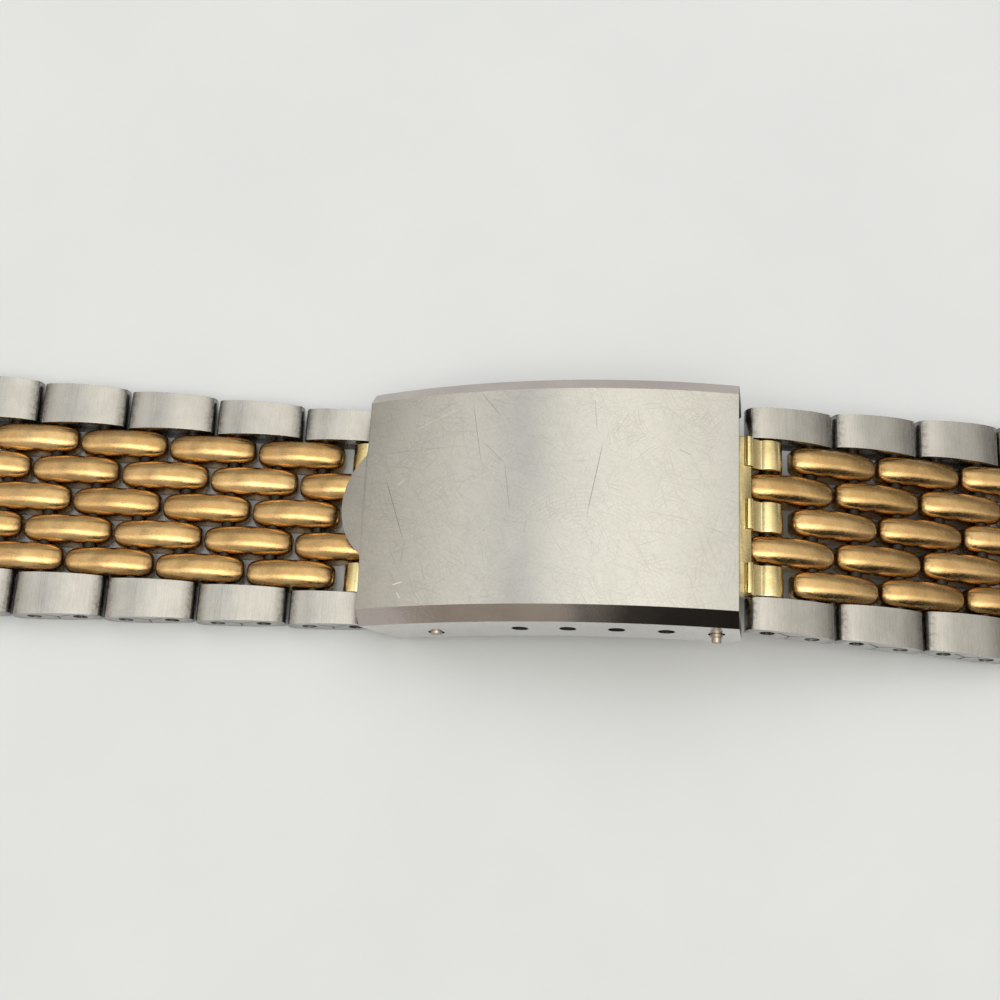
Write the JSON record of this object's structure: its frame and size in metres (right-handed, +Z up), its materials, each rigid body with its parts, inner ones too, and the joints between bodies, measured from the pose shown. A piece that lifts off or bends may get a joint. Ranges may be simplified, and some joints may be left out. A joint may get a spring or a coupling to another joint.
{
  "type": "watch bracelet",
  "caption": "Two-tone beads of rice watch bracelet: hinged rows of steel links and brass beads, folding clasp with an adjustable cover, and spring bars at both lug ends.",
  "frame": {"origin": "on the ground under the middle of the bracelet's length and width", "axes": "+X along the bracelet from the clasp's hinge side to its adjusting side, +Z up through the cover, +Y across the bracelet"},
  "size_m": [0.1232, 0.0214, 0.011],
  "materials": {
    "cover_steel": "worn satin with a polished bevel",
    "link_steel": "brushed across the bracelet",
    "blade_steel": "plain satin",
    "pin_steel": "plain drawn wire",
    "lug_steel": "brushed across the bracelet",
    "bead_gold": "satin polish, tarnished at the ends",
    "end_gold": "polished"
  },
  "bodies": {
    "lower_blade_body": {"lower_blade": "blade_steel", "blade_pin": "pin_steel", "end_pin": "pin_steel"},
    "upper_blade_body": {"upper_blade": "blade_steel"},
    "cover_pin_body": {"cover_pin": "pin_steel"},
    "cover_body": {"cover": "cover_steel"},
    "clasp_bar_body": {"clasp_bar": "pin_steel"},
    "clasp_tip_near_body": {"clasp_tip_near": "pin_steel"},
    "clasp_tip_far_body": {"clasp_tip_far": "pin_steel"},
    "left_end_body": {"left_end_piece": "end_gold"},
    "right_end_body": {"right_end_piece": "end_gold"},
    "left_row_1": {"left_steel_1": "link_steel", "left_gold_1": "bead_gold"},
    "left_beads_1": {"left_bead_1": "bead_gold"},
    "left_row_2": {"left_steel_2": "link_steel", "left_gold_2": "bead_gold"},
    "left_beads_2": {"left_bead_2": "bead_gold"},
    "left_row_3": {"left_steel_3": "link_steel", "left_gold_3": "bead_gold"},
    "left_beads_3": {"left_bead_3": "bead_gold"},
    "left_row_4": {"left_steel_4": "link_steel", "left_gold_4": "bead_gold"},
    "left_beads_4": {"left_bead_4": "bead_gold"},
    "left_row_5": {"left_steel_5": "link_steel", "left_gold_5": "bead_gold"},
    "left_beads_5": {"left_bead_5": "bead_gold"},
    "left_row_6": {"left_steel_6": "link_steel", "left_gold_6": "bead_gold"},
    "left_beads_6": {"left_bead_6": "bead_gold"},
    "left_row_7": {"left_steel_7": "link_steel", "left_gold_7": "bead_gold"},
    "left_beads_7": {"left_bead_7": "bead_gold"},
    "left_lug_body": {"left_lug_link": "lug_steel"},
    "left_bar_body": {"left_lug_bar": "pin_steel"},
    "left_tip_near_body": {"left_lug_tip_near": "pin_steel"},
    "left_tip_far_body": {"left_lug_tip_far": "pin_steel"},
    "right_row_1": {"right_steel_1": "link_steel", "right_gold_1": "bead_gold"},
    "right_beads_1": {"right_bead_1": "bead_gold"},
    "right_row_2": {"right_steel_2": "link_steel", "right_gold_2": "bead_gold"},
    "right_beads_2": {"right_bead_2": "bead_gold"},
    "right_row_3": {"right_steel_3": "link_steel", "right_gold_3": "bead_gold"},
    "right_beads_3": {"right_bead_3": "bead_gold"},
    "right_row_4": {"right_steel_4": "link_steel", "right_gold_4": "bead_gold"},
    "right_beads_4": {"right_bead_4": "bead_gold"},
    "right_row_5": {"right_steel_5": "link_steel", "right_gold_5": "bead_gold"},
    "right_beads_5": {"right_bead_5": "bead_gold"},
    "right_row_6": {"right_steel_6": "link_steel", "right_gold_6": "bead_gold"},
    "right_beads_6": {"right_bead_6": "bead_gold"},
    "right_lug_body": {"right_lug_link": "lug_steel"},
    "right_bar_body": {"right_lug_bar": "pin_steel"},
    "right_tip_near_body": {"right_lug_tip_near": "pin_steel"},
    "right_tip_far_body": {"right_lug_tip_far": "pin_steel"}
  },
  "joints": [
    {"name": "blade_fold", "type": "hinge", "parent": "lower_blade_body", "child": "upper_blade_body", "pos_m": [0.01306, 0, 0.0012], "axis": [0, -1, 0], "range_deg": [-165, 0]},
    {"name": "cover_pin_spin", "type": "hinge", "parent": "upper_blade_body", "child": "cover_pin_body", "pos_m": [-0.00474, 0, 0.00397], "axis": [0, 1, 0], "continuous": true},
    {"name": "cover_lift", "type": "hinge", "parent": "upper_blade_body", "child": "cover_body", "pos_m": [-0.00474, 0, 0.00397], "axis": [0, -1, 0], "range_deg": [-11, 10]},
    {"name": "clasp_bar_spin", "type": "hinge", "parent": "cover_body", "child": "clasp_bar_body", "pos_m": [0.01414, 0, 0.00767], "axis": [0, 1, 0], "continuous": true},
    {"name": "clasp_tip_near_push", "type": "slide", "parent": "clasp_bar_body", "child": "clasp_tip_near_body", "axis": [0, 1, 0], "range_m": [0, 0.0015], "stiffness_N_per_m": 200, "springref_m": -0.0005},
    {"name": "clasp_tip_far_push", "type": "slide", "parent": "clasp_bar_body", "child": "clasp_tip_far_body", "axis": [0, -1, 0], "range_m": [0, 0.0015], "stiffness_N_per_m": 200, "springref_m": -0.0005},
    {"name": "right_end_swing", "type": "hinge", "parent": "cover_body", "child": "right_end_body", "pos_m": [0.01414, 0, 0.00767], "axis": [0, 1, 0], "range_deg": [-45, 5]},
    {"name": "left_end_swing", "type": "hinge", "parent": "lower_blade_body", "child": "left_end_body", "pos_m": [-0.00654, 0, 0.0012], "axis": [0, -1, 0], "range_deg": [-12, 18]},
    {"name": "left_row_1_hinge", "type": "hinge", "parent": "left_end_body", "child": "left_row_1", "pos_m": [-0.01069, 0, 0.0012], "axis": [0, -1, 0], "range_deg": [-10, 14]},
    {"name": "left_beads_1_hinge", "type": "hinge", "parent": "left_row_1", "child": "left_beads_1", "pos_m": [-0.01399, 0, 0.0012], "axis": [0, -1, 0], "range_deg": [-10, 14]},
    {"name": "left_row_2_hinge", "type": "hinge", "parent": "left_beads_1", "child": "left_row_2", "pos_m": [-0.01729, 0, 0.0012], "axis": [0, -1, 0], "range_deg": [-10, 14]},
    {"name": "left_beads_2_hinge", "type": "hinge", "parent": "left_row_2", "child": "left_beads_2", "pos_m": [-0.02059, 0, 0.0012], "axis": [0, -1, 0], "range_deg": [-10, 14]},
    {"name": "left_row_3_hinge", "type": "hinge", "parent": "left_beads_2", "child": "left_row_3", "pos_m": [-0.02389, 0, 0.0012], "axis": [0, -1, 0], "range_deg": [-10, 14]},
    {"name": "left_beads_3_hinge", "type": "hinge", "parent": "left_row_3", "child": "left_beads_3", "pos_m": [-0.02719, 0, 0.0012], "axis": [0, -1, 0], "range_deg": [-10, 14]},
    {"name": "left_row_4_hinge", "type": "hinge", "parent": "left_beads_3", "child": "left_row_4", "pos_m": [-0.03049, 0, 0.0012], "axis": [0, -1, 0], "range_deg": [-10, 14]},
    {"name": "left_beads_4_hinge", "type": "hinge", "parent": "left_row_4", "child": "left_beads_4", "pos_m": [-0.03379, 0, 0.0012], "axis": [0, -1, 0], "range_deg": [-10, 14]},
    {"name": "left_row_5_hinge", "type": "hinge", "parent": "left_beads_4", "child": "left_row_5", "pos_m": [-0.03709, 0, 0.0012], "axis": [0, -1, 0], "range_deg": [-10, 14]},
    {"name": "left_beads_5_hinge", "type": "hinge", "parent": "left_row_5", "child": "left_beads_5", "pos_m": [-0.04039, 0, 0.0012], "axis": [0, -1, 0], "range_deg": [-10, 14]},
    {"name": "left_row_6_hinge", "type": "hinge", "parent": "left_beads_5", "child": "left_row_6", "pos_m": [-0.04369, 0, 0.0012], "axis": [0, -1, 0], "range_deg": [-10, 14]},
    {"name": "left_beads_6_hinge", "type": "hinge", "parent": "left_row_6", "child": "left_beads_6", "pos_m": [-0.04699, 0, 0.0012], "axis": [0, -1, 0], "range_deg": [-10, 14]},
    {"name": "left_row_7_hinge", "type": "hinge", "parent": "left_beads_6", "child": "left_row_7", "pos_m": [-0.05029, 0, 0.0012], "axis": [0, -1, 0], "range_deg": [-10, 14]},
    {"name": "left_beads_7_hinge", "type": "hinge", "parent": "left_row_7", "child": "left_beads_7", "pos_m": [-0.05359, 0, 0.0012], "axis": [0, -1, 0], "range_deg": [-10, 14]},
    {"name": "left_lug_hinge", "type": "hinge", "parent": "left_beads_7", "child": "left_lug_body", "pos_m": [-0.05689, 0, 0.0012], "axis": [0, -1, 0], "range_deg": [-10, 14]},
    {"name": "left_bar_spin", "type": "hinge", "parent": "left_lug_body", "child": "left_bar_body", "pos_m": [-0.06039, 0, 0.0012], "axis": [0, 1, 0], "continuous": true},
    {"name": "left_tip_near_push", "type": "slide", "parent": "left_bar_body", "child": "left_tip_near_body", "axis": [0, 1, 0], "range_m": [0, 0.0015], "stiffness_N_per_m": 200, "springref_m": -0.0005},
    {"name": "left_tip_far_push", "type": "slide", "parent": "left_bar_body", "child": "left_tip_far_body", "axis": [0, -1, 0], "range_m": [0, 0.0015], "stiffness_N_per_m": 200, "springref_m": -0.0005},
    {"name": "right_row_1_hinge", "type": "hinge", "parent": "right_end_body", "child": "right_row_1", "pos_m": [0.01783, 0, 0.00579], "axis": [0, 1, 0], "range_deg": [-10, 14]},
    {"name": "right_beads_1_hinge", "type": "hinge", "parent": "right_row_1", "child": "right_beads_1", "pos_m": [0.02104, 0, 0.00502], "axis": [0, 1, 0], "range_deg": [-10, 14]},
    {"name": "right_row_2_hinge", "type": "hinge", "parent": "right_beads_1", "child": "right_row_2", "pos_m": [0.02425, 0, 0.00426], "axis": [0, 1, 0], "range_deg": [-10, 14]},
    {"name": "right_beads_2_hinge", "type": "hinge", "parent": "right_row_2", "child": "right_beads_2", "pos_m": [0.02746, 0, 0.00349], "axis": [0, 1, 0], "range_deg": [-10, 14]},
    {"name": "right_row_3_hinge", "type": "hinge", "parent": "right_beads_2", "child": "right_row_3", "pos_m": [0.03067, 0, 0.00273], "axis": [0, 1, 0], "range_deg": [-10, 14]},
    {"name": "right_beads_3_hinge", "type": "hinge", "parent": "right_row_3", "child": "right_beads_3", "pos_m": [0.03388, 0, 0.00196], "axis": [0, 1, 0], "range_deg": [-10, 14]},
    {"name": "right_row_4_hinge", "type": "hinge", "parent": "right_beads_3", "child": "right_row_4", "pos_m": [0.03709, 0, 0.0012], "axis": [0, 1, 0], "range_deg": [-10, 14]},
    {"name": "right_beads_4_hinge", "type": "hinge", "parent": "right_row_4", "child": "right_beads_4", "pos_m": [0.04039, 0, 0.0012], "axis": [0, 1, 0], "range_deg": [-10, 14]},
    {"name": "right_row_5_hinge", "type": "hinge", "parent": "right_beads_4", "child": "right_row_5", "pos_m": [0.04369, 0, 0.0012], "axis": [0, 1, 0], "range_deg": [-10, 14]},
    {"name": "right_beads_5_hinge", "type": "hinge", "parent": "right_row_5", "child": "right_beads_5", "pos_m": [0.04699, 0, 0.0012], "axis": [0, 1, 0], "range_deg": [-10, 14]},
    {"name": "right_row_6_hinge", "type": "hinge", "parent": "right_beads_5", "child": "right_row_6", "pos_m": [0.05029, 0, 0.0012], "axis": [0, 1, 0], "range_deg": [-10, 14]},
    {"name": "right_beads_6_hinge", "type": "hinge", "parent": "right_row_6", "child": "right_beads_6", "pos_m": [0.05359, 0, 0.0012], "axis": [0, 1, 0], "range_deg": [-10, 14]},
    {"name": "right_lug_hinge", "type": "hinge", "parent": "right_beads_6", "child": "right_lug_body", "pos_m": [0.05689, 0, 0.0012], "axis": [0, 1, 0], "range_deg": [-10, 14]},
    {"name": "right_bar_spin", "type": "hinge", "parent": "right_lug_body", "child": "right_bar_body", "pos_m": [0.06039, 0, 0.0012], "axis": [0, 1, 0], "continuous": true},
    {"name": "right_tip_near_push", "type": "slide", "parent": "right_bar_body", "child": "right_tip_near_body", "axis": [0, 1, 0], "range_m": [0, 0.0015], "stiffness_N_per_m": 200, "springref_m": -0.0005},
    {"name": "right_tip_far_push", "type": "slide", "parent": "right_bar_body", "child": "right_tip_far_body", "axis": [0, -1, 0], "range_m": [0, 0.0015], "stiffness_N_per_m": 200, "springref_m": -0.0005}
  ]
}
